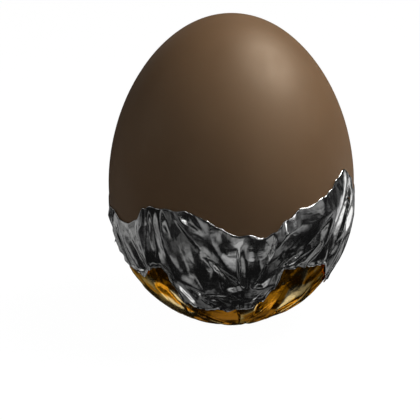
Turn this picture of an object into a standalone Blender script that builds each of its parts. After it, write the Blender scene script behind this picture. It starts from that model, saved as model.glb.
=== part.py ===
"""Chocolate egg, half unwrapped: a moulded egg standing on its broad end in a crumpled foil wrapper.

The wrapper is one sheet, gold outside and silver inside. Its top is turned back down over itself,
so that a silver cuff with a torn lower edge covers the upper part of the gold cup.
Metres, +Z up along the egg's long axis. The origin is the middle of the flat foot, and the shown
front faces -Y.
"""

import math
import random

import bmesh
import bpy
from mathutils import Vector

# Driving dimensions of the egg
EGG_LENGTH = 0.0570
EGG_WIDTH = 0.0447
BELLY_DROP = 0.0026  # how far the widest ring lies below the middle of the egg's length
EGG_FLAT = 0.0006  # height of the round end that the egg's own flat spot takes off

# Driving dimensions of the foil, which is drawn thicker than a real sheet of 0.015 mm
FOIL_GAP = 0.0003  # between the egg and the foil
CUP_WALL = 0.00045  # the single layer, creases included
CUFF_WALL = 0.0007  # the two layers where the sheet is turned back
FOLD_WALL = 0.0005  # the rounded top of the turned-back fold
CUP_CREASE = 0.00015  # how far creases press in or stand out
CUFF_CREASE = 0.0003
FOOT_BUNCHING = 0.0003  # extra thickness where the sheet is gathered under the egg

# Sizes of one crease, each picked between two limits
CREASES = 170
CREASE_HALF_LENGTH = (0.004, 0.011)
CREASE_HALF_WIDTH = (0.0014, 0.0032)
CREASE_DEPTH = (0.5, 1.0)  # as a share of the depth that its layer allows
CREASE_SHARES = (0.01, 0.56)  # the lowest and highest creases, as shares of the egg's length

HALF_LENGTH = EGG_LENGTH / 2
HALF_WIDTH = EGG_WIDTH / 2
EGG_FOOT_HEIGHT = CUP_WALL + FOIL_GAP
EGG_LOWEST = EGG_FOOT_HEIGHT - EGG_FLAT  # where the round end would reach without its flat

EGG_STEPS = 64
EGG_ROWS = 30
FOIL_SECTIONS = 80
CUP_ROWS = 7
CUFF_ROWS = 7
LINING_ROWS = 8
BELOW_FOLD = 0.97  # where the cuff and the lining end, as a share of the way up to the fold

# The turned-back fold and the torn edge, as (degrees round from the front towards +X, share of the
# egg's length above its round end)
FOLD_LINE = (
    (-71, 0.402), (-55, 0.390), (-48, 0.414), (-43, 0.455), (-39, 0.475), (-25, 0.474),
    (-12, 0.458), (-6, 0.432), (4, 0.403), (15, 0.397), (19, 0.412), (24, 0.450), (31, 0.468),
    (38, 0.475), (45, 0.492), (50, 0.514), (55, 0.530), (62, 0.548), (71, 0.510), (75, 0.466),
    (88, 0.430), (104, 0.452), (118, 0.502), (132, 0.450), (147, 0.398), (163, 0.420),
    (178, 0.462), (192, 0.516), (205, 0.460), (220, 0.408), (236, 0.450), (250, 0.472),
    (262, 0.415), (276, 0.392),
)
TORN_EDGE = (
    (-69, 0.258), (-60, 0.236), (-50, 0.224), (-44, 0.254), (-40, 0.275), (-36, 0.277),
    (-33, 0.263), (-31, 0.228), (-28, 0.158), (-22, 0.142), (-5, 0.140), (11, 0.147),
    (17, 0.175), (21, 0.221), (25, 0.282), (32, 0.284), (41, 0.275), (50, 0.265), (58, 0.210),
    (65, 0.172), (82, 0.160), (97, 0.198), (108, 0.262), (120, 0.210), (134, 0.146),
    (152, 0.152), (166, 0.220), (178, 0.272), (190, 0.212), (203, 0.154), (218, 0.166),
    (232, 0.232), (243, 0.250), (254, 0.222), (268, 0.262), (280, 0.278),
)


def clear_scene():
    for obj in list(bpy.data.objects):
        bpy.data.objects.remove(obj)


def collection(name):
    made = bpy.data.collections.new(name)
    bpy.context.scene.collection.children.link(made)
    return made


def material(name, colour, roughness, metallic=0.0):
    made = bpy.data.materials.new(name)
    made.use_nodes = True
    shader = made.node_tree.nodes["Principled BSDF"]
    shader.inputs["Base Color"].default_value = (*colour, 1.0)
    shader.inputs["Roughness"].default_value = roughness
    shader.inputs["Metallic"].default_value = metallic
    return made


def egg_point(turn, offset=0.0):
    """(radius, height) on the egg's outline, moved out along its normal.

    turn runs from 0 at the broad end to pi at the narrow end.
    """
    def outline(at):
        along = -HALF_LENGTH * math.cos(at)
        taper = HALF_LENGTH**2 + BELLY_DROP**2 + 2 * BELLY_DROP * along
        return HALF_LENGTH * HALF_WIDTH * math.sin(at) / math.sqrt(taper), along

    small = 1e-4
    radius, along = outline(turn)
    ahead_r, ahead_z = outline(turn + small)
    behind_r, behind_z = outline(turn - small)
    normal = Vector((ahead_z - behind_z, behind_r - ahead_r)).normalized()
    return radius + offset * normal.x, EGG_LOWEST + HALF_LENGTH + along + offset * normal.y


def turn_at(share):
    """The turn at which the egg's outline is this share of its length above its round end."""
    return math.acos(1 - 2 * share)


def share_at(line, degrees):
    """Height of a closed line at an angle, with rounded peaks and dips through its points."""
    start = line[0][0]
    degrees = start + (degrees - start) % 360
    closed = (*line, (line[0][0] + 360, line[0][1]))
    for (a, low), (b, high) in zip(closed, closed[1:]):
        if a <= degrees <= b:
            way = (1 - math.cos(math.pi * (degrees - a) / (b - a))) / 2
            return low + (high - low) * way
    raise ValueError(degrees)


def around(degrees, radius, height):
    """A point this far round from the front."""
    angle = math.radians(degrees)
    return Vector((radius * math.sin(angle), -radius * math.cos(angle), height))


def make_creases(seed):
    """Straight creases scattered over the lower egg, each with a centre, two directions and a size."""
    dice = random.Random(seed)
    creases = []
    for _ in range(CREASES):
        degrees = dice.uniform(0, 360)
        turn = turn_at(dice.uniform(*CREASE_SHARES))
        centre = around(degrees, *egg_point(turn))
        out = (around(degrees, *egg_point(turn, FOIL_GAP)) - centre).normalized()
        sideways = around(degrees + 90, 1.0, 0.0)
        upwards = out.cross(sideways)
        slant = dice.uniform(0, math.pi)
        creases.append((
            centre,
            sideways * math.cos(slant) + upwards * math.sin(slant),
            sideways * math.sin(slant) - upwards * math.cos(slant),
            dice.uniform(*CREASE_HALF_LENGTH),
            dice.uniform(*CREASE_HALF_WIDTH),
            dice.choice((-1, 1)) * dice.uniform(*CREASE_DEPTH),
        ))
    return creases


def relief(point, creases):
    """How far the crumpled foil stands out at a point, from -1 to 1."""
    total = 0.0
    for centre, along, across, half_length, half_width, height in creases:
        away = point - centre
        slope = 1 - abs(away.dot(along)) / half_length - abs(away.dot(across)) / half_width
        total += height * max(0.0, slope)
    return max(-1.0, min(1.0, total))


def foil_section(degrees, creases):
    """Outline of the foil at one angle: up the outside, over the fold and down the lining."""
    fold = turn_at(share_at(FOLD_LINE, degrees))
    torn = turn_at(share_at(TORN_EDGE, degrees))
    points = []

    def add(turn, offset, crease=0.0, floor=0.0):
        point = around(degrees, *egg_point(turn, offset))
        radius, height = egg_point(turn, offset + crease * relief(point, creases))
        points.append(around(degrees, radius, max(height, floor)))

    for row in range(1, CUP_ROWS + 1):
        share = row / CUP_ROWS
        bunching = FOOT_BUNCHING * (1 - share) ** 2
        add(torn * share, FOIL_GAP + CUP_WALL + bunching, CUP_CREASE)
    for row in range(CUFF_ROWS + 1):
        share = row / CUFF_ROWS
        turn = torn + (fold - torn) * share * BELOW_FOLD
        add(turn, FOIL_GAP + CUFF_WALL, CUFF_CREASE * (1 - share**4))
    add(fold, FOIL_GAP + FOLD_WALL)
    for row in range(LINING_ROWS):
        share = 1 - row / LINING_ROWS
        add(fold * BELOW_FOLD * share, FOIL_GAP, floor=CUP_WALL)
    return points


def loft(name, sections, first, last, second_material_from):
    """A closed skin through the sections in turn, with a fan of faces at each end.

    The faces past the given row take the object's second material.
    """
    made = bmesh.new()
    rings = [[made.verts.new(point) for point in section] for section in sections]
    bottom = made.verts.new(first)
    inside = made.verts.new(last)
    for ring, following in zip(rings, rings[1:] + rings[:1]):
        made.faces.new((bottom, following[0], ring[0]))
        for row in range(len(ring) - 1):
            face = made.faces.new((ring[row], following[row], following[row + 1], ring[row + 1]))
            face.material_index = int(row >= second_material_from)
        made.faces.new((ring[-1], following[-1], inside)).material_index = 1
    bmesh.ops.recalc_face_normals(made, faces=made.faces)
    mesh = bpy.data.meshes.new(name)
    made.to_mesh(mesh)
    made.free()
    return bpy.data.objects.new(name, mesh)


def build_egg(parts):
    """A profile from the narrow end down to the flat spot, turned about the long axis."""
    lowest = turn_at(EGG_FLAT / EGG_LENGTH)
    outline = [
        egg_point(math.pi + (lowest - math.pi) * row / EGG_ROWS)
        for row in range(EGG_ROWS + 1)
    ]
    outline[0] = (0.0, outline[0][1])
    outline.append((0.0, EGG_FOOT_HEIGHT))
    profile = bpy.data.meshes.new("chocolate_egg")
    profile.from_pydata(
        [(radius, 0, height) for radius, height in outline],
        [(i, i + 1) for i in range(len(outline) - 1)],
        [],
    )
    egg = bpy.data.objects.new("chocolate_egg", profile)
    parts.objects.link(egg)
    turned = egg.modifiers.new("turned", "SCREW")
    turned.steps = turned.render_steps = EGG_STEPS
    turned.use_merge_vertices = True
    turned.merge_threshold = 1e-6
    turned.use_smooth_shade = True
    egg.data.materials.append(material("milk_chocolate", (0.195, 0.109, 0.053), 0.55))
    return egg


def build_foil(parts):
    creases = make_creases(seed=11)
    step = 360 / FOIL_SECTIONS
    sections = [foil_section(step * i, creases) for i in range(FOIL_SECTIONS)]
    foil = loft(
        "foil_wrapper",
        sections,
        first=Vector((0, 0, 0)),
        last=Vector((0, 0, CUP_WALL)),
        second_material_from=CUP_ROWS,
    )
    parts.objects.link(foil)
    foil.data.materials.append(material("gold_side", (0.72, 0.345, 0.01), 0.2, 1.0))
    foil.data.materials.append(material("silver_side", (0.80, 0.80, 0.79), 0.25, 1.0))
    return foil


def main():
    clear_scene()
    parts = collection("chocolate_egg_in_foil")
    build_egg(parts)
    build_foil(parts)


main()
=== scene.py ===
"""A moulded chocolate egg standing in its half-opened foil, gold outside and silver inside."""

import math

import bpy
import numpy as np
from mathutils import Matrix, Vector
from mathutils.geometry import delaunay_2d_cdt


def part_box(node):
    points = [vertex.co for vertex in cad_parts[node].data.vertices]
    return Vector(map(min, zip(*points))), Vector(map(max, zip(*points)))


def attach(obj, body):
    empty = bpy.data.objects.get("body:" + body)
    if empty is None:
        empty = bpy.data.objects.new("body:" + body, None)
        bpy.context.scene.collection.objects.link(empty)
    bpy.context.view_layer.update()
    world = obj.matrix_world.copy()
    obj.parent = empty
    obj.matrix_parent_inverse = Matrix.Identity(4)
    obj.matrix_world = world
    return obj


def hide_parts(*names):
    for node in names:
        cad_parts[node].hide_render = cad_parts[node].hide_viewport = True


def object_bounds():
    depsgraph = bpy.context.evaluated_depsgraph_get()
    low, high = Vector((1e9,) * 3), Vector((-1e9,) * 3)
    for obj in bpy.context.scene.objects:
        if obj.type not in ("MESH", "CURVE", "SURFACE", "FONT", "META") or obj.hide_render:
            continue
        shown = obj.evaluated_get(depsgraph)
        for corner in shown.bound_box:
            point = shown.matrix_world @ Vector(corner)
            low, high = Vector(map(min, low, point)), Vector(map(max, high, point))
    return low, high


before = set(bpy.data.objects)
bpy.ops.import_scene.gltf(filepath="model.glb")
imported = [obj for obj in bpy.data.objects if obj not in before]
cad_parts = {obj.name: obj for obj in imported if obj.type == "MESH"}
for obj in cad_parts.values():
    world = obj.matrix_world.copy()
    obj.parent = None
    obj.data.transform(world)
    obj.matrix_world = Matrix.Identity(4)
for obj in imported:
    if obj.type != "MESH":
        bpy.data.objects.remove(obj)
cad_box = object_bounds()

# --- The egg -------------------------------------------------------------------------------------
# Solid milk chocolate, cast in a polished mould, so it is smooth all over with no seam to see.
# It is narrow at the top, widest a little below the middle, and has a small flat spot underneath.

egg_low, egg_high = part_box("chocolate_egg")
flat_spot = 0.0006  # height of the round end that the flat spot takes off
belly_drop = 0.0026  # how far the widest ring lies below the middle
egg_length = egg_high[2] - egg_low[2] + flat_spot
egg_width = egg_high[0] - egg_low[0]
round_end = egg_low[2] - flat_spot  # height of the round end before it is flattened


def work_out(tree, operation, *values):
    """A Math node on sockets or plain numbers; returns its result."""
    node = tree.nodes.new("ShaderNodeMath")
    node.operation = operation
    for socket, value in zip(node.inputs, values):
        if isinstance(value, bpy.types.NodeSocket):
            tree.links.new(value, socket)
        else:
            socket.default_value = value
    return node.outputs[0]


def egg_mould():
    """Node tree of the mould: a ball drawn out to the egg's outline and pressed flat underneath."""
    tree = bpy.data.node_groups.new("egg_mould", "GeometryNodeTree")
    sizes = (
        ("Length", egg_length),
        ("Width", egg_width),
        ("Belly drop", belly_drop),
        ("Round end", round_end),
        ("Flat at", egg_low[2]),
        ("Unevenness", 0.00007),
        ("Wave size", 0.013),
    )
    for name, value in sizes:
        socket = tree.interface.new_socket(name, in_out="INPUT", socket_type="NodeSocketFloat")
        socket.default_value = value
    tree.interface.new_socket("Chocolate", in_out="INPUT", socket_type="NodeSocketMaterial")
    tree.interface.new_socket("Egg", in_out="OUTPUT", socket_type="NodeSocketGeometry")
    given = tree.nodes.new("NodeGroupInput").outputs
    result = tree.nodes.new("NodeGroupOutput").inputs["Egg"]

    ball = tree.nodes.new("GeometryNodeMeshUVSphere")
    ball.inputs["Segments"].default_value = 192
    ball.inputs["Rings"].default_value = 128
    ball.inputs["Radius"].default_value = 1.0
    on_ball = tree.nodes.new("ShaderNodeSeparateXYZ")
    tree.links.new(tree.nodes.new("GeometryNodeInputPosition").outputs[0], on_ball.inputs[0])

    # along is the height over the egg's middle, and taper draws the upper half in
    half_length = work_out(tree, "MULTIPLY", given["Length"], 0.5)
    along = work_out(tree, "MULTIPLY", on_ball.outputs["Z"], half_length)
    drop = given["Belly drop"]
    taper = work_out(tree, "ADD", work_out(tree, "POWER", half_length, 2.0),
                     work_out(tree, "POWER", drop, 2.0))
    taper = work_out(tree, "MULTIPLY_ADD", work_out(tree, "MULTIPLY", along, drop), 2.0, taper)
    half_width = work_out(tree, "MULTIPLY", given["Width"], 0.5)
    spread = work_out(tree, "DIVIDE", work_out(tree, "MULTIPLY", half_length, half_width),
                      work_out(tree, "SQRT", taper))
    height = work_out(tree, "ADD", along, work_out(tree, "ADD", given["Round end"], half_length))
    drawn = tree.nodes.new("ShaderNodeCombineXYZ")
    tree.links.new(work_out(tree, "MULTIPLY", on_ball.outputs["X"], spread), drawn.inputs["X"])
    tree.links.new(work_out(tree, "MULTIPLY", on_ball.outputs["Y"], spread), drawn.inputs["Y"])
    tree.links.new(work_out(tree, "MAXIMUM", height, given["Flat at"]), drawn.inputs["Z"])
    shape = tree.nodes.new("GeometryNodeSetPosition")
    tree.links.new(ball.outputs["Mesh"], shape.inputs["Geometry"])
    tree.links.new(drawn.outputs[0], shape.inputs["Position"])

    # long shallow waves, only inwards, that cooling chocolate leaves; none on the flat spot
    waves = tree.nodes.new("ShaderNodeTexNoise")
    tree.links.new(work_out(tree, "DIVIDE", 1.0, given["Wave size"]), waves.inputs["Scale"])
    waves.inputs["Detail"].default_value = 1.0
    clear = tree.nodes.new("ShaderNodeMapRange")
    tree.links.new(work_out(tree, "SUBTRACT", height, given["Flat at"]), clear.inputs["Value"])
    clear.inputs["From Max"].default_value = 0.003  # the waves have their full depth from here up
    depth = work_out(tree, "MULTIPLY", waves.outputs[0], given["Unevenness"])
    depth = work_out(tree, "MULTIPLY", depth, work_out(tree, "MULTIPLY", clear.outputs[0], -1.0))
    inwards = tree.nodes.new("ShaderNodeVectorMath")
    inwards.operation = "SCALE"
    tree.links.new(tree.nodes.new("GeometryNodeInputNormal").outputs[0], inwards.inputs[0])
    tree.links.new(depth, inwards.inputs["Scale"])
    cooled = tree.nodes.new("GeometryNodeSetPosition")
    tree.links.new(shape.outputs[0], cooled.inputs["Geometry"])
    tree.links.new(inwards.outputs[0], cooled.inputs["Offset"])

    smooth = tree.nodes.new("GeometryNodeSetShadeSmooth")
    tree.links.new(cooled.outputs[0], smooth.inputs[0])
    realized = tree.nodes.new("GeometryNodeRealizeInstances")
    tree.links.new(smooth.outputs[0], realized.inputs[0])
    finished = tree.nodes.new("GeometryNodeSetMaterial")
    tree.links.new(realized.outputs[0], finished.inputs["Geometry"])
    tree.links.new(given["Chocolate"], finished.inputs["Material"])
    tree.links.new(finished.outputs[0], result)
    return tree


def shader_of(made):
    """The material's Principled BSDF."""
    made.use_nodes = True
    return made.node_tree.nodes["Principled BSDF"]


def noise(tree, scale, detail, source=None):
    """Noise on Object coordinates; returns its value, from 0 to 1."""
    node = tree.nodes.new("ShaderNodeTexNoise")
    node.inputs["Scale"].default_value = scale
    node.inputs["Detail"].default_value = detail
    place = source or tree.nodes.new("ShaderNodeTexCoord").outputs["Object"]
    tree.links.new(place, node.inputs["Vector"])
    return node.outputs[0]


def spread_over(tree, value, low, high, at=(0.3, 0.7)):
    """Maps a noise value to the range that a shader socket takes."""
    node = tree.nodes.new("ShaderNodeMapRange")
    node.inputs["From Min"].default_value, node.inputs["From Max"].default_value = at
    node.inputs["To Min"].default_value, node.inputs["To Max"].default_value = low, high
    tree.links.new(value, node.inputs["Value"])
    return node.outputs[0]


def two_tones(tree, value, first, second):
    """A colour between two, by a value from 0 to 1."""
    node = tree.nodes.new("ShaderNodeMix")
    node.data_type = "RGBA"
    node.inputs["A"].default_value = (*first, 1.0)
    node.inputs["B"].default_value = (*second, 1.0)
    tree.links.new(value, node.inputs["Factor"])
    return node.outputs["Result"]


def raise_surface(tree, shader, height, distance, strength=1.0):
    """Relief that is too fine for the mesh."""
    bump = tree.nodes.new("ShaderNodeBump")
    bump.inputs["Distance"].default_value = distance
    bump.inputs["Strength"].default_value = strength
    tree.links.new(height, bump.inputs["Height"])
    tree.links.new(bump.outputs[0], shader.inputs["Normal"])


# Milk chocolate: a soft, slightly uneven sheen over a brown that shifts a little
chocolate = bpy.data.materials.new("milk_chocolate")
shader = shader_of(chocolate)
tree = chocolate.node_tree
tone = spread_over(tree, noise(tree, 75.0, 3.0), 0.0, 1.0)
tree.links.new(two_tones(tree, tone, (0.184, 0.102, 0.049), (0.206, 0.116, 0.057)),
               shader.inputs["Base Color"])
sheen = spread_over(tree, noise(tree, 160.0, 2.0), 0.50, 0.60)
tree.links.new(sheen, shader.inputs["Roughness"])
shader.inputs["IOR"].default_value = 1.48
shader.inputs["Specular IOR Level"].default_value = 1.0
shader.inputs["Specular Tint"].default_value = (1.0, 0.80, 0.58, 1.0)
shader.inputs["Subsurface Weight"].default_value = 0.12
shader.inputs["Subsurface Scale"].default_value = 0.0015
shader.inputs["Subsurface Radius"].default_value = (1.0, 0.5, 0.3)
raise_surface(tree, shader, noise(tree, 900.0, 3.0), 0.00001, 0.5)

egg = bpy.data.objects.new("moulded_egg", bpy.data.meshes.new("moulded_egg"))
bpy.context.scene.collection.objects.link(egg)
mould = egg.modifiers.new("mould", "NODES")
mould.node_group = egg_mould()
for item in mould.node_group.interface.items_tree:
    if item.name == "Chocolate":
        mould[item.identifier] = chocolate
moulded = egg.evaluated_get(bpy.context.evaluated_depsgraph_get())
egg.data = bpy.data.meshes.new_from_object(moulded)
egg.modifiers.clear()
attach(egg, "root")
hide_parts("chocolate_egg")

# --- The foil ------------------------------------------------------------------------------------
# One sheet of thin aluminium foil, lacquered gold on its outer side and bare silver on its inner
# side. It cups the egg's broad end, and its top has been turned back down over itself: the fold
# makes the zigzag rim, and the silver cuff ends in a torn edge over the gold.

foil_low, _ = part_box("foil_wrapper")
columns = 500
cup_rows = 42
hidden_rows = 5  # of the cup, under the cuff
bend_rows = 6
cuff_rows = 40
sheet_thickness = 0.00004
cup_lift = 0.00025  # how far the gold cup's outer face lies from the egg
least_lift = 0.00006
hidden_lift = 0.00008
layer_gap = 0.00010  # least distance between the cup and the cuff over it
fold_lift = 0.00015
cuff_lift = 0.00043
lip_lift = 0.00022  # how far the torn edge curls out
cup_depth = 0.00021  # the most that creases stand out or press in
cuff_depth = 0.00034
# Height of the fold and of the torn edge, as (degrees round from the front towards +X, share of
# the egg's length above its round end)
fold_line = (
    (-71, 0.402), (-55, 0.390), (-48, 0.414), (-43, 0.455), (-39, 0.475), (-25, 0.474),
    (-12, 0.458), (-6, 0.432), (4, 0.403), (15, 0.397), (19, 0.412), (24, 0.450), (31, 0.468),
    (38, 0.475), (45, 0.492), (50, 0.514), (55, 0.530), (62, 0.548), (71, 0.510), (75, 0.466),
    (88, 0.430), (104, 0.452), (118, 0.502), (132, 0.450), (147, 0.398), (163, 0.420),
    (178, 0.462), (192, 0.516), (205, 0.460), (220, 0.408), (236, 0.450), (250, 0.472),
    (262, 0.415), (276, 0.392),
)
torn_line = (
    (-69, 0.258), (-60, 0.236), (-50, 0.224), (-44, 0.254), (-40, 0.275), (-36, 0.277),
    (-33, 0.263), (-31, 0.228), (-28, 0.158), (-22, 0.142), (-5, 0.140), (11, 0.147),
    (17, 0.175), (21, 0.221), (25, 0.282), (32, 0.284), (41, 0.275), (50, 0.265), (58, 0.210),
    (65, 0.172), (82, 0.160), (97, 0.198), (108, 0.262), (120, 0.210), (134, 0.146),
    (152, 0.152), (166, 0.220), (178, 0.272), (190, 0.212), (203, 0.154), (218, 0.166),
    (232, 0.232), (243, 0.250), (254, 0.222), (268, 0.262), (280, 0.278),
)
# Which way the creases of the silver cuff run, as (degrees round, slant up from level)
crease_flow = (
    (-70, 122), (-52, 118), (-40, 98), (-28, 104), (-18, 132), (-5, 128), (6, 90), (16, 62),
    (28, 35), (42, 38), (56, 58), (68, 66), (90, 88), (112, 120), (135, 150), (158, 118),
    (180, 88), (202, 58), (225, 34), (248, 68), (270, 96),
)
# The few long creases that the hand left when it turned the cuff down, as (degrees round, share,
# slant, half length, height)
pressed_by_hand = (
    (-60, 0.33, 118, 0.0050, 0.00035), (-53, 0.33, 112, 0.0050, -0.00035),
    (-46, 0.37, 98, 0.0045, 0.00040), (-38, 0.37, 92, 0.0045, -0.00038),
    (-31, 0.38, 104, 0.0045, 0.00040), (-24, 0.36, 112, 0.0050, -0.00036),
    (-17, 0.38, 128, 0.0050, 0.00038), (-11, 0.33, 132, 0.0055, -0.00040),
    (-4, 0.33, 122, 0.0045, 0.00036), (3, 0.31, 92, 0.0045, -0.00030),
    (9, 0.31, 86, 0.0045, 0.00045), (16, 0.31, 76, 0.0040, -0.00040),
    (24, 0.35, 40, 0.0050, 0.00040), (31, 0.33, 38, 0.0050, -0.00036),
    (40, 0.38, 40, 0.0055, 0.00040), (48, 0.34, 48, 0.0050, -0.00038),
    (54, 0.42, 58, 0.0050, 0.00040), (61, 0.40, 66, 0.0050, -0.00036),
    (66, 0.46, 72, 0.0050, 0.00042), (-10, 0.20, 10, 0.0035, 0.00026),
    (2, 0.18, 172, 0.0035, -0.00026), (6, 0.22, 6, 0.0035, 0.00026),
    (13, 0.18, 12, 0.0030, -0.00024),
)


def along_line(line, degrees):
    """Value of a closed line at these angles, with rounded turns at its points."""
    angles = np.array([angle for angle, _ in line] + [line[0][0] + 360.0])
    values = np.array([value for _, value in line] + [line[0][1]])
    degrees = angles[0] + (np.asarray(degrees) - angles[0]) % 360.0
    after = np.clip(np.searchsorted(angles, degrees, side="right"), 1, len(angles) - 1)
    way = (degrees - angles[after - 1]) / (angles[after] - angles[after - 1])
    way = (1 - np.cos(np.pi * way)) / 2
    return values[after - 1] * (1 - way) + values[after] * way


def turn_at(share):
    """Turn from the broad end at which the egg's outline has this share of its length below it."""
    return np.arccos(1 - 2 * np.asarray(share))


def outline(turn):
    """Distance from the long axis, and height over the egg's middle, of the egg's surface."""
    half_length, half_width = egg_length / 2, egg_width / 2
    along = -half_length * np.cos(turn)
    taper = half_length**2 + belly_drop**2 + 2 * belly_drop * along
    return half_length * half_width * np.sin(turn) / np.sqrt(taper), along


def over_egg(degrees, turn, lift):
    """Points this far off the egg's surface, for arrays of angles round and turns up."""
    small = 1e-4
    radius, along = outline(turn)
    (ahead_r, ahead_z), (behind_r, behind_z) = outline(turn + small), outline(turn - small)
    out_r, out_z = ahead_z - behind_z, behind_r - ahead_r
    size = np.hypot(out_r, out_z)
    radius = radius + lift * out_r / size
    height = round_end + egg_length / 2 + along + lift * out_z / size
    angle = np.radians(degrees)
    x, y = radius * np.sin(angle), -radius * np.cos(angle)
    return np.stack(np.broadcast_arrays(x, y, height), -1)


# Creases are laid out flat, on a roll round the egg that is opened at the back
girth = 0.020  # radius of the roll
climb = 0.0255  # height on the roll of one radian of turn up the egg
round_trip = 2 * math.pi * girth
roll_height = climb * 1.75  # up to above the highest peak of the fold


def crease_network(dice, spacing, half_lengths, height, flow, scatter, hero=()):
    """The flat facets of a crumpled sheet, as triangles of (place round, place up, height).

    Ridges and valleys are short lines that follow the flow, and facets span from one to the next.
    The hero creases come first, and others keep clear of them.
    """
    inside_cell = (0.15, 0.85)  # where in its cell of the grid a crease may lie
    out_of_turn = 0.25  # the share of creases that break the change of ridge and valley
    fading = (0.4, 1.0)  # how high an end of a crease is, as a share of the full height
    clearance = 0.45  # between a hero crease and the others, as a share of the spacing
    past_seam = 0.2  # how far beyond the roll's seam creases are copied, as a share of its length
    millimetres = 1000  # the triangulation works best on numbers near one

    lines = []
    for angle, share, slant, half, raised in hero:
        lines.append((math.radians(angle + 180) * girth, float(turn_at(share)) * climb,
                      math.radians(slant), half, raised, raised))
    heroes = len(lines)
    across, up = int(round_trip / spacing), int(roll_height / spacing)
    for i in range(across):
        for j in range(up):
            x = (i + dice.uniform(*inside_cell)) * round_trip / across
            y = (j + dice.uniform(*inside_cell)) * roll_height / up
            slant = float(along_line(flow, math.degrees(x / girth) - 180))
            slant += dice.normal(0, scatter)
            half = dice.uniform(*half_lengths)
            side = 1 if (i + j + (dice.uniform() < out_of_turn)) % 2 else -1
            first, last = side * height * dice.uniform(*fading, 2)
            distances = [
                abs((x - at_x) * math.sin(lean) - (y - at_y) * math.cos(lean))
                + max(0, math.hypot(x - at_x, y - at_y) - reach)
                for at_x, at_y, lean, reach, _, _ in lines[:heroes]
            ]
            if not distances or min(distances) > spacing * clearance:
                lines.append((x, y, math.radians(slant), half, first, last))

    ends, heights, edges = [], [], []
    for x, y, slant, half, first, last in lines:
        step = Vector((math.cos(slant), math.sin(slant))) * half
        for around in (-round_trip, 0, round_trip):
            if -past_seam < (x + around) / round_trip < 1 + past_seam:
                centre = Vector((x + around, y))
                edges.append((len(ends), len(ends) + 1))
                ends += [(centre - step) * millimetres, (centre + step) * millimetres]
                heights += [first, last]
    corners, _, triangles, came_from, _, _ = delaunay_2d_cdt(ends, edges, [], 0, 1e-5)
    heights = [np.mean([heights[i] for i in origin]) if origin else 0.0 for origin in came_from]
    corners = np.array([
        (x / millimetres, y / millimetres, z) for (x, y), z in zip(corners, heights)
    ])
    return corners[np.array([face[:3] for face in triangles])]


def crumple(degrees, turns, network):
    """Height of the crumpled sheet at these angles round and turns up."""
    flat_line, slack = 1e-12, 1e-9
    raised = np.zeros(turns.shape)
    x = np.radians(degrees + 180.0) * girth
    y = turns * climb
    for (ax, ay, az), (bx, by, bz), (cx, cy, cz) in network:
        low, high = np.searchsorted(x, (min(ax, bx, cx), max(ax, bx, cx)))
        twice = (bx - ax) * (cy - ay) - (cx - ax) * (by - ay)
        if low == high or abs(twice) < flat_line:
            continue
        px, py = x[low:high] - ax, y[:, low:high] - ay
        to_b = (px * (cy - ay) - py * (cx - ax)) / twice
        to_c = (py * (bx - ax) - px * (by - ay)) / twice
        inside = (to_b >= -slack) & (to_c >= -slack) & (to_b + to_c <= 1 + slack)
        facet = az + to_b * (bz - az) + to_c * (cz - az)
        raised[:, low:high] = np.where(inside, facet, raised[:, low:high])
    return raised


def settle(raised, depth):
    """Creases pressed by hand: they stand out no further than this."""
    return depth * np.tanh(raised / depth)


# The fold has small kinks, as (how many round the egg, height), and the torn edge has small teeth
dice = np.random.default_rng(41)
degrees = np.arange(columns) * 360.0 / columns - 180.0
kinks = sum(
    height * np.sin(np.radians(degrees * beat) + dice.uniform(0, 6.3))
    for beat, height in ((13, 0.0040), (29, 0.0028), (47, 0.0012))
)
teeth = sum(
    height * np.abs(((degrees * beat / 360.0 + dice.uniform(0, 1)) % 1.0) - 0.5)
    for beat, height in ((31, 0.009), (57, 0.007), (93, 0.004))
)
fold_turn = turn_at(along_line(fold_line, degrees) + kinks)
torn_smooth = turn_at(along_line(torn_line, degrees))
torn_turn = turn_at(along_line(torn_line, degrees) + teeth - teeth.mean())

# The gold cup, from the middle of the foot up to the torn edge and on under the cuff. The hand
# that pressed the cuff down also flattened the cup beside it.
under_edge = 0.05  # how far up the cup's open part goes on under the cuff, as a turn
flattened = 0.45  # what is left there of the creases' depth
cup_share = np.arange(1, cup_rows + 1)[:, None] / cup_rows
hidden_share = np.arange(1, hidden_rows + 1)[:, None] / hidden_rows
cup_turn = np.concatenate((
    (torn_smooth + under_edge) * cup_share,
    torn_smooth + under_edge + (fold_turn - torn_smooth - under_edge) * hidden_share,
))
cup_flow = tuple((angle, slant + 10) for angle, slant in crease_flow)
cup_raised = crumple(degrees, cup_turn, crease_network(
    dice, 0.0034, (0.0018, 0.0034), 0.00032, cup_flow, 14))
cup_raised += crumple(degrees, cup_turn, crease_network(
    dice, 0.0013, (0.0005, 0.0011), 0.000035, cup_flow, 35))
covered = np.concatenate((np.zeros((cup_rows, 1)), hidden_share**0.3))
cup_height = cup_lift * (1 - covered) + hidden_lift * covered
top_fifth = np.clip(cup_share * 5 - 4, 0, 1)
pressed = 1 - (1 - flattened) * top_fifth
pressed = np.concatenate((pressed, np.full((hidden_rows, 1), flattened)))
cup_height = cup_height + settle(cup_raised, cup_depth) * (1 - covered) * pressed
cup_height = np.maximum(cup_height, least_lift)

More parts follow.
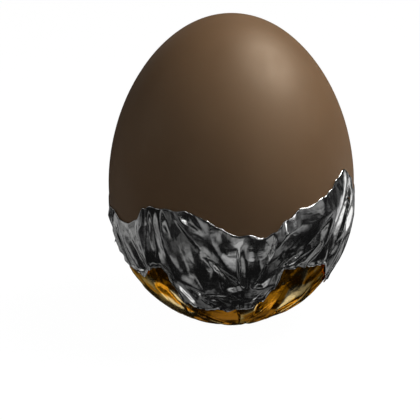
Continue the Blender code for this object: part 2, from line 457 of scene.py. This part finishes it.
# The silver cuff, from the fold down to the torn edge. It is tight against the egg at the fold,
# stands off over its first quarter, and its edge curls out over the last fourteenth.
crease_at_fold = 0.35  # what the fold leaves of the creases' depth
cuff_share = np.arange(cuff_rows + 1)[:, None] / cuff_rows
cuff_turn = fold_turn + (torn_turn - fold_turn) * cuff_share
cuff_raised = crumple(degrees, cuff_turn, crease_network(
    dice, 0.0036, (0.0018, 0.0036), 0.00042, crease_flow, 14, pressed_by_hand))
cuff_raised += crumple(degrees, cuff_turn, crease_network(
    dice, 0.0013, (0.0005, 0.0011), 0.000035, crease_flow, 30))
first_quarter = np.clip(cuff_share * 4, 0, 1)
lip = lip_lift * np.clip(cuff_share * 14 - 13, 0, 1)
creased = crease_at_fold + (1 - crease_at_fold) * first_quarter
cuff_height = fold_lift + (cuff_lift - fold_lift) * first_quarter
cuff_height = cuff_height + settle(cuff_raised, cuff_depth) * creased
under_cuff = np.stack([
    np.interp(cuff_turn[:, i], cup_turn[:, i], cup_height[:, i]) for i in range(columns)
], axis=1)
cuff_height = np.maximum(cuff_height, under_cuff + layer_gap) + lip

# The fold between them, a half round whose size follows the cuff's height above the cup
bend_angle = np.pi * np.arange(1, bend_rows)[:, None] / bend_rows
bend_radius = (cuff_height[0] - hidden_lift) / 2
bend_height = hidden_lift + bend_radius * (1 - np.cos(bend_angle))
bend_turn = fold_turn + bend_radius * np.sin(bend_angle) / (egg_width / 2)

# The sheet as one skin, closed at the middle of the foot
turns = np.concatenate((cup_turn, bend_turn, cuff_turn))
lifts = np.concatenate((cup_height, bend_height, cuff_height))
points = over_egg(degrees, turns, lifts)
points[..., 2] = np.maximum(points[..., 2], foil_low[2])
rows = len(points)
mesh = bpy.data.meshes.new("foil")
row_start = np.arange(rows - 1)[:, None] * columns
first = row_start + np.arange(columns)
beside = row_start + (np.arange(columns) + 1) % columns
faces = np.stack((first, beside, beside + columns, first + columns), -1).reshape(-1, 4)
pole = rows * columns
fan = [(pole, (i + 1) % columns, i) for i in range(columns)]
vertices = np.vstack((points.reshape(-1, 3), (0.0, 0.0, foil_low[2])))
mesh.from_pydata(vertices.tolist(), [], faces.tolist() + fan)
mesh.shade_smooth()

# How far each point stands out in its crease, for the wear on the ridges
standing_out = np.concatenate((cup_raised, np.zeros(bend_height.shape), cuff_raised)).ravel()
ridges = mesh.attributes.new("ridges", "FLOAT", "POINT")
ridges.data.foreach_set("value", np.append(standing_out, 0.0))


def crinkle_group():
    """Shared by both sides: the finest crinkles, too small for the mesh, and rubbed patches."""
    group = bpy.data.node_groups.new("foil_crinkle", "ShaderNodeTree")
    for name, side in (("Crinkle size", "INPUT"), ("Height", "OUTPUT"), ("Rubbed", "OUTPUT")):
        group.interface.new_socket(name, in_out=side, socket_type="NodeSocketFloat")
    given = group.nodes.new("NodeGroupInput").outputs
    result = group.nodes.new("NodeGroupOutput").inputs
    place = group.nodes.new("ShaderNodeTexCoord").outputs["Object"]
    bent = group.nodes.new("ShaderNodeTexNoise")
    bent.inputs["Scale"].default_value = 420.0
    group.links.new(place, bent.inputs["Vector"])
    shift = group.nodes.new("ShaderNodeVectorMath")
    shift.operation = "MULTIPLY_ADD"
    group.links.new(bent.outputs["Color"], shift.inputs[0])
    shift.inputs[1].default_value = (0.0012, 0.0012, 0.0012)
    group.links.new(place, shift.inputs[2])
    cells = group.nodes.new("ShaderNodeTexVoronoi")
    cells.feature = "F1"
    cells.distance = "MANHATTAN"
    group.links.new(shift.outputs[0], cells.inputs["Vector"])
    group.links.new(work_out(group, "DIVIDE", 1.0, given["Crinkle size"]), cells.inputs["Scale"])
    group.links.new(cells.outputs["Distance"], result["Height"])
    rubbed = group.nodes.new("ShaderNodeTexNoise")
    rubbed.inputs["Scale"].default_value = 260.0
    rubbed.inputs["Detail"].default_value = 4.0
    group.links.new(place, rubbed.inputs["Vector"])
    group.links.new(rubbed.outputs[0], result["Rubbed"])
    return group


crinkle = crinkle_group()


def foil_side(name, clean, worn, smoothest, roughest, crinkle_size, crinkle_depth):
    """Bright metal with fine crinkles, whose ridges and some patches are worn."""
    made = bpy.data.materials.new(name)
    shader, tree = shader_of(made), made.node_tree
    shader.inputs["Metallic"].default_value = 1.0
    marks = tree.nodes.new("ShaderNodeGroup")
    marks.node_tree = crinkle
    marks.inputs["Crinkle size"].default_value = crinkle_size
    ridges = tree.nodes.new("ShaderNodeAttribute")
    ridges.attribute_name = "ridges"
    wear = spread_over(tree, ridges.outputs["Fac"], 0.0, 0.28, (0.00002, 0.00022))
    wear = work_out(tree, "ADD", marks.outputs["Rubbed"], wear)
    tree.links.new(two_tones(tree, spread_over(tree, wear, 0.0, 1.0, (0.62, 0.76)), clean, worn),
                   shader.inputs["Base Color"])
    tree.links.new(spread_over(tree, marks.outputs["Rubbed"], smoothest, roughest),
                   shader.inputs["Roughness"])
    raise_surface(tree, shader, marks.outputs["Height"], crinkle_depth)
    return made, shader


gold, shader = foil_side("gold_lacquered_foil", (0.74, 0.305, 0.005), (0.86, 0.72, 0.46),
                         0.13, 0.22, 0.0014, 0.00002)
shader.inputs["Coat Weight"].default_value = 0.15
shader.inputs["Coat Roughness"].default_value = 0.12
shader.inputs["Specular Tint"].default_value = (1.0, 0.70, 0.16, 1.0)
silver, _ = foil_side("bare_aluminium_foil", (0.80, 0.80, 0.79), (0.70, 0.70, 0.70),
                      0.10, 0.19, 0.0016, 0.00002)

foil = bpy.data.objects.new("folded_foil", mesh)
bpy.context.scene.collection.objects.link(foil)
mesh.materials.append(gold)
mesh.materials.append(silver)
wall = foil.modifiers.new("thickness", "SOLIDIFY")
wall.thickness = sheet_thickness
wall.offset = -1.0
wall.material_offset = 1
wall.material_offset_rim = 1
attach(foil, "root")
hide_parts("foil_wrapper")

# --- The studio ----------------------------------------------------------------------------------
# A white sheet under the egg, a large soft lamp high on the right, a weak one on the left and two
# narrow strips. Reflections miss the sheet and see a dark room with a few white cards, which
# gives bright foil its black and white facets.

middle = Vector((0.0, 0.0, (cad_box[0][2] + cad_box[1][2]) / 2))

floor_mesh = bpy.data.meshes.new("floor")
half_floor = 3.0
floor_mesh.from_pydata(
    [(x, y, foil_low[2]) for x, y in ((-half_floor, -half_floor), (half_floor, -half_floor),
                                      (half_floor, half_floor), (-half_floor, half_floor))],
    [], [(0, 1, 2, 3)])
floor = bpy.data.objects.new("floor", floor_mesh)
bpy.context.scene.collection.objects.link(floor)
paper = bpy.data.materials.new("white_paper")
shader, tree = shader_of(paper), paper.node_tree
shader.inputs["Roughness"].default_value = 0.9
glow = tree.nodes.new("ShaderNodeEmission")
glow.inputs["Strength"].default_value = 1.03  # just past white, so that the ground has no tone
ray = tree.nodes.new("ShaderNodeLightPath")
to_the_egg, to_the_camera = (0.24, 0.24, 0.24), (0.80, 0.80, 0.80)
tree.links.new(two_tones(tree, ray.outputs["Is Camera Ray"], to_the_egg, to_the_camera),
               shader.inputs["Base Color"])
whitened = tree.nodes.new("ShaderNodeMixShader")
tree.links.new(work_out(tree, "MULTIPLY", ray.outputs["Is Camera Ray"], 0.96), whitened.inputs[0])
tree.links.new(shader.outputs[0], whitened.inputs[1])
tree.links.new(glow.outputs[0], whitened.inputs[2])
see_through = tree.nodes.new("ShaderNodeMixShader")
tree.links.new(ray.outputs["Is Glossy Ray"], see_through.inputs[0])
tree.links.new(whitened.outputs[0], see_through.inputs[1])
tree.links.new(tree.nodes.new("ShaderNodeBsdfTransparent").outputs[0], see_through.inputs[2])
tree.links.new(see_through.outputs[0], tree.nodes["Material Output"].inputs["Surface"])
floor_mesh.materials.append(paper)

world = bpy.data.worlds.new("studio")
bpy.context.scene.world = world
world.use_nodes = True
tree = world.node_tree
tree.nodes.clear()
ray = tree.nodes.new("ShaderNodeLightPath")
direction = tree.nodes.new("ShaderNodeTexCoord").outputs["Generated"]
room = 0.096  # soft light from all round
reflected = spread_over(tree, noise(tree, 3.0, 1.0, direction), 0.0064, 0.29, (0.52, 0.66))


def card(tree, direction, towards, half_angle, brightness):
    """A white card in the studio: a soft disc of light that only reflections show."""
    along = tree.nodes.new("ShaderNodeVectorMath")
    along.operation = "DOT_PRODUCT"
    tree.links.new(direction, along.inputs[0])
    along.inputs[1].default_value = Vector(towards).normalized()
    edges = (math.cos(math.radians(half_angle * 1.4)), math.cos(math.radians(half_angle * 0.8)))
    return spread_over(tree, along.outputs["Value"], 0.0, brightness, edges)


for towards, half_angle, brightness in (
    ((0.81, 0.52, -0.26), 9, 1.2),
    ((-0.75, 0.55, -0.35), 8, 0.36),
    ((0.15, -0.80, -0.55), 7, 0.48),
    ((0.36, 0.42, -0.83), 6, 1.0),
    ((-0.42, 0.40, -0.82), 6, 1.1),
):
    reflected = work_out(tree, "MAXIMUM", reflected,
                         card(tree, direction, towards, half_angle, brightness))
strength = work_out(tree, "MULTIPLY", ray.outputs["Is Glossy Ray"], reflected)
not_glossy = work_out(tree, "SUBTRACT", 1.0, ray.outputs["Is Glossy Ray"])
strength = work_out(tree, "MULTIPLY_ADD", not_glossy, room, strength)
strength = work_out(tree, "MAXIMUM", strength, ray.outputs["Is Camera Ray"])
light = tree.nodes.new("ShaderNodeBackground")
light.inputs["Color"].default_value = (1.0, 1.0, 1.0, 1.0)
tree.links.new(strength, light.inputs["Strength"])
tree.links.new(light.outputs[0], tree.nodes.new("ShaderNodeOutputWorld").inputs["Surface"])


def lamp(name, around, above, distance, wide, tall, power):
    """A soft rectangular lamp, aimed at the egg's middle, round from the front towards +X."""
    light = bpy.data.lights.new(name, "AREA")
    light.shape = "RECTANGLE"
    light.size, light.size_y = wide, tall
    light.energy = power
    lamp_object = bpy.data.objects.new(name, light)
    bpy.context.scene.collection.objects.link(lamp_object)
    round_by, up_by = math.radians(around), math.radians(above)
    direction = Vector((math.cos(up_by) * math.sin(round_by),
                        -math.cos(up_by) * math.cos(round_by), math.sin(up_by)))
    lamp_object.location = middle + direction * distance
    lamp_object.rotation_euler = direction.to_track_quat("Z", "Y").to_euler()


lamp("key", 91, 57.5, 0.35, 0.16, 0.16, 1.10)
lamp("fill", -85, 20, 0.45, 0.20, 0.20, 0.055)
lamp("strip_left", -35, 20, 0.40, 0.02, 0.30, 0.05)
lamp("strip_right", 35, 12, 0.40, 0.03, 0.30, 0.08)

# --- The camera ----------------------------------------------------------------------------------
# It looks a little down at the egg's shown front.

camera_data = bpy.data.cameras.new("camera")
camera_data.lens = 142.0
camera_data.clip_start = 0.01
camera = bpy.data.objects.new("camera", camera_data)
bpy.context.scene.collection.objects.link(camera)
elevation = math.radians(18)
away = Vector((0.0, -math.cos(elevation), math.sin(elevation)))
rise = Vector((0.0, math.sin(elevation), math.cos(elevation)))
aside, below, distance = 0.00385, 0.0074, 0.3015  # the egg is a little right of and above the middle
aim = middle - Vector((aside, 0, 0)) - rise * below
camera.location = aim + away * distance
camera.rotation_euler = away.to_track_quat("Z", "Y").to_euler()
bpy.context.scene.camera = camera
bpy.context.scene.view_settings.view_transform = "Standard"
